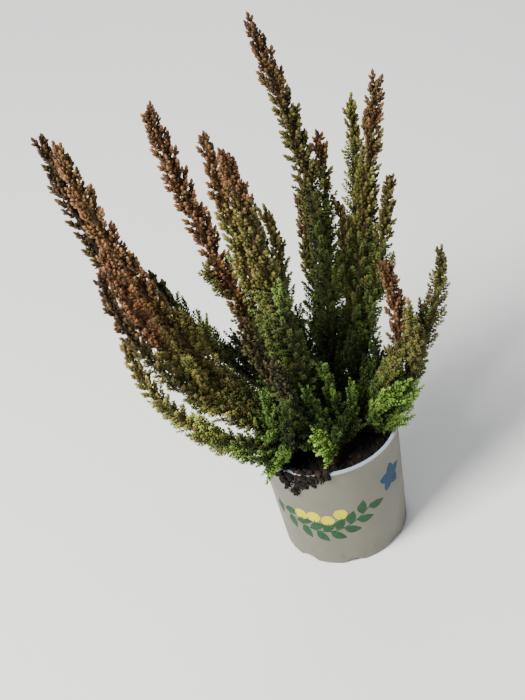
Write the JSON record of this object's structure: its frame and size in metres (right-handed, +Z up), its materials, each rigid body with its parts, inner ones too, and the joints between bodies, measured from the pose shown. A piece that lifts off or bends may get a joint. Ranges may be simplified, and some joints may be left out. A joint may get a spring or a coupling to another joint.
{
  "type": "potted heather",
  "caption": "Bud-blooming heather in a plain tapered grower's pot: arched leafy shoots end in russet bud spikes that lean to one side.",
  "frame": {"origin": "middle of the flat underside of the pot", "axes": "+Z up along the pot's axis, -Y towards someone looking at the pot's front, +X to their right; the shoots lean to -X"},
  "size_m": [0.2462, 0.1792, 0.394],
  "materials": {
    "pot_plastic": "thin matte warm-grey moulded plastic, paler and faintly bluish at the lip",
    "peat": "moist crumbly black-brown peat",
    "dark_leaves": "matte dark green scale leaves on brown woody stems",
    "bright_leaves": "matte yellow-green young scale leaves",
    "buds": "matte closed buds, russet with olive and rose tints"
  },
  "bodies": {
    "root": {"pot": "pot_plastic", "peat": "peat", "leaves_left": "dark_leaves", "leaves_rear_left": "dark_leaves", "leaves_middle": "dark_leaves", "leaves_rear": "dark_leaves", "leaves_rear_right": "dark_leaves", "leaves_right": "bright_leaves", "leaves_front": "bright_leaves", "buds_left_low": "buds", "buds_left_tall": "buds", "buds_left_near": "buds", "buds_left_near_side": "buds", "buds_left_sweep": "buds", "buds_rear_left_long": "buds", "buds_middle_left": "buds", "buds_middle_tall": "buds", "buds_middle_near": "buds", "buds_middle_side": "buds", "buds_middle_front": "buds", "buds_middle_low": "buds", "buds_rear_tall": "buds", "buds_rear_side": "buds", "buds_rear_twig": "buds", "buds_rear_green": "buds", "buds_rear_far": "buds", "buds_rear_far_left": "buds", "buds_rear_right_tall": "buds", "buds_rear_right_near": "buds", "buds_rear_right_far": "buds", "buds_right_russet": "buds", "buds_right_out": "buds"}
  },
  "joints": []
}
